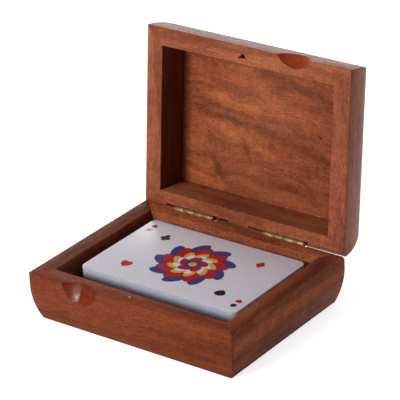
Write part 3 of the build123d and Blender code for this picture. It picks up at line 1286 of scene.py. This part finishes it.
def make_lid():
    """Four walls and the panel, made shut."""
    walls = four_walls("lid", lid_rim, 1, lid_height, lid_straight, lid_edge_radius, lid_height)
    cut_catch_hole(walls["front"], lid_rim, catch_hole_radius, catch_hole_depth)
    split_hole_edge(walls["front"], lid_rim)
    cut_hinge_pockets(walls["back"], lid_rim, 1)
    tones = linear(128, 66, 48), linear(184, 97, 66), linear(212, 126, 84)
    dull_tones = linear(124, 63, 48), linear(170, 88, 63), linear(194, 109, 78)
    # Painted shade on the outer faces of the lid's front and right walls
    front_painted_shade, right_painted_shade = (0.72, 0.62, 0.48, 1), (0.8, 0.8, 0.74, 1)
    # Each wall's grain, and how much painted shade its inner and outer faces get
    looks = {
        "front": {"place": (140, 0, 50), "tones": tones, "fleck": 0.35, "outer_painted_shade": front_painted_shade},
        "back": {"place": (350, 160, 0), "tones": tones, "fleck": 0.35, "inner_painted_shade": 0.45},
        "left": {"place": (720, 120, 9), "tones": tones, "inner_painted_shade": 1.0},
        "right": {"place": (555, 190, 30), "tones": dull_tones, "figure_size": 1.6, "outer_painted_shade": right_painted_shade},
    }
    finish_walls("lid", walls, looks)
    finish_piece(lid_panel(), panel_wood(), "lid_top_panel", "lid")


def make_hinges():
    leaf_brass = brass("hinge brass", linear(184, 152, 112), (0, 0, 0))
    pin_brass = brass("hinge pin brass", linear(166, 134, 96), (30, 0, 0))
    for side in ("left", "right"):
        base_leaf = hinge_leaf(side, f"{side}_base_leaf", 0, -1)
        finish_piece(base_leaf, leaf_brass, f"{side}_hinge_base_leaf", "base")
        lid_leaf = hinge_leaf(side, f"{side}_lid_leaf", 1, 1)
        finish_piece(lid_leaf, leaf_brass, f"{side}_hinge_lid_leaf", "lid")
        finish_piece(hinge_pin(side), pin_brass, f"{side}_hinge_pin", "base")


def make_cards():
    finish_piece(card_pile(), paper_edges(), "card_stack", "cards")
    finish_piece(upper_card(), card_face(), "top_card", "cards")


# ---------------------------------------------------------------- camera, lights and floor
picture_side = 400
focal_pixels = 2314.5
camera_azimuth = math.radians(37.05)
camera_elevation = math.radians(25.64)
camera_roll = math.radians(-2.63)
camera_distance = 1092.5 * mm
camera_slide = (8.12 * mm, 51.82 * mm)
picture_centre = (201.41, 199.78)


def make_camera():
    """The photograph's camera, aimed by its angles and slid sideways and up."""
    back = Vector((
        math.sin(camera_azimuth) * math.cos(camera_elevation),
        -math.cos(camera_azimuth) * math.cos(camera_elevation),
        math.sin(camera_elevation),
    ))
    level_right = Vector((math.cos(camera_azimuth), math.sin(camera_azimuth), 0))
    level_up = back.cross(level_right)
    right = level_right * math.cos(camera_roll) + level_up * math.sin(camera_roll)
    up = back.cross(right)
    place = back * camera_distance + level_right * camera_slide[0] + level_up * camera_slide[1]
    settings = bpy.data.cameras.new("camera")
    settings.sensor_width = 36
    settings.lens = focal_pixels * settings.sensor_width / picture_side
    settings.shift_x = (picture_side / 2 - picture_centre[0]) / picture_side
    settings.shift_y = (picture_centre[1] - picture_side / 2) / picture_side
    settings.clip_start = 0.05
    settings.clip_end = 20
    camera = bpy.data.objects.new("camera", settings)
    turn = Matrix((right, up, back)).transposed().to_4x4()
    camera.matrix_world = Matrix.Translation(place) @ turn
    bpy.context.scene.collection.objects.link(camera)
    bpy.context.scene.camera = camera


def make_lamp(name, place, target, size, power):
    light = bpy.data.lights.new(name, "AREA")
    light.shape = "RECTANGLE"
    light.size, light.size_y = size
    light.energy = power
    lamp = bpy.data.objects.new(name, light)
    lamp.location = place
    lamp.rotation_euler = (Vector(target) - Vector(place)).to_track_quat("-Z", "Y").to_euler()
    bpy.context.scene.collection.objects.link(lamp)


room_light = 0.16
backdrop_light = 1.9
floor_glow = 0.76
# Name, place, target, width and height, and power in watts
lamps = [
    ("key", (-0.36, -1.56, 0.86), (0, 0, 0.04), (0.42, 0.36), 19),
    ("top", (-0.2, 0.3, 1.6), (0, 0, 0.04), (0.9, 0.9), 5),
    ("back", (-1.09, 1.59, 0.34), (0, 0, 0.1), (2.8, 0.44), 12.5),
]


def make_world():
    """A dim room with a bright backdrop low down behind the object; the camera itself sees white."""
    world = bpy.data.worlds.new("studio")
    world.use_nodes = True
    tree = world.node_tree
    tree.nodes.clear()
    direction = tree.nodes.new("ShaderNodeTexCoord").outputs["Generated"]
    _, toward_back, toward_sky = apart(tree, direction)
    low = span(tree, toward_sky, 0.32, 0.24)
    behind = span(tree, toward_back, -0.15, 0.3)
    backdrop = times(tree, low, behind)
    strength = span(tree, backdrop, 0, 1, room_light, backdrop_light, False)
    soft = add_node(tree, "ShaderNodeBackground", {}, {"Color": (0.96, 0.98, 1.0, 1), "Strength": strength})
    white = add_node(tree, "ShaderNodeBackground", {}, {"Color": (1, 1, 1, 1), "Strength": 1.0})
    path = tree.nodes.new("ShaderNodeLightPath").outputs
    low_gloss = times(tree, path["Is Glossy Ray"], times(tree, low, 0.5))
    seen = calculate(tree, "MAXIMUM", path["Is Camera Ray"], path["Is Transmission Ray"])
    seen = calculate(tree, "MAXIMUM", seen, low_gloss)
    mix = add_node(tree, "ShaderNodeMixShader", {}, {0: seen, 1: soft.outputs[0], 2: white.outputs[0]})
    output = tree.nodes.new("ShaderNodeOutputWorld")
    tree.links.new(mix.outputs[0], output.inputs["Surface"])
    bpy.context.scene.world = world


def make_floor():
    """A matt white floor that keeps the object's shadow and is seen as white around it."""
    deselect()
    bpy.ops.mesh.primitive_plane_add(size=6, location=(0, 0, -0.05 * mm))
    floor = apply_place(bpy.context.active_object)
    floor.name = "studio_floor"
    material = bpy.data.materials.new("studio floor")
    material.use_nodes = True
    tree = material.node_tree
    tree.nodes.clear()
    path = tree.nodes.new("ShaderNodeLightPath").outputs
    seen = calculate(tree, "MAXIMUM", path["Is Camera Ray"], path["Is Transmission Ray"])
    seen = calculate(tree, "MAXIMUM", seen, path["Is Glossy Ray"])
    matt = add_node(tree, "ShaderNodeBsdfDiffuse", {}, {"Color": (0.8, 0.8, 0.8, 1)})
    strength = times(tree, seen, floor_glow)
    glow = add_node(tree, "ShaderNodeEmission", {}, {"Color": (1, 1, 1, 1), "Strength": strength})
    both = add_node(tree, "ShaderNodeAddShader", {}, {0: matt.outputs[0], 1: glow.outputs[0]})
    output = tree.nodes.new("ShaderNodeOutputMaterial")
    tree.links.new(both.outputs[0], output.inputs["Surface"])
    floor.data.materials.append(material)


make_camera()
make_base()
make_lid()
make_hinges()
make_cards()
make_world()
make_floor()
for lamp in lamps:
    make_lamp(*lamp)

bpy.context.scene.view_settings.view_transform = "Standard"
